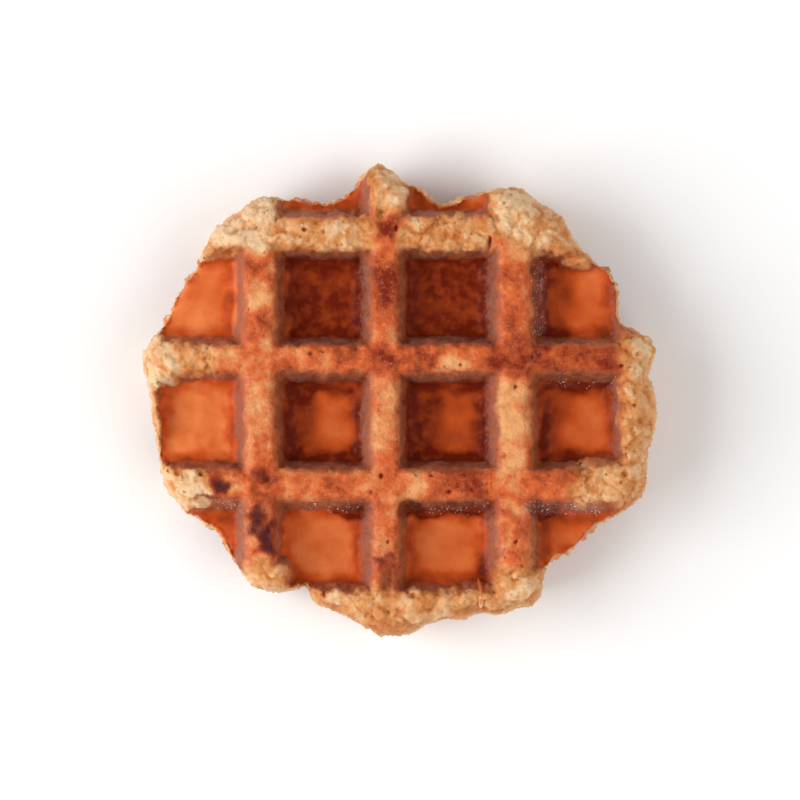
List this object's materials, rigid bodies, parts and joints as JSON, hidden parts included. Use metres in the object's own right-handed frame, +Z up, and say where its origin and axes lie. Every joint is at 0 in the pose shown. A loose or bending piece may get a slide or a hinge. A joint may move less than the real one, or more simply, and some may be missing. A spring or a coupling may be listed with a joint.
{
  "type": "liege waffle",
  "caption": "Thick oval yeast-dough waffle with square pockets pressed into both faces, ragged rim, browned and caramelised crust.",
  "frame": {"origin": "under the middle of the outline, on the plane that the lower ridges rest on", "axes": "+Z up through the thickness, +X along the longer side of the oval, with the lattice along X and Y"},
  "size_m": [0.1068, 0.0978, 0.0253],
  "materials": {
    "baked_crust": "satin"
  },
  "bodies": {
    "root": {"waffle": "baked_crust"}
  },
  "joints": []
}
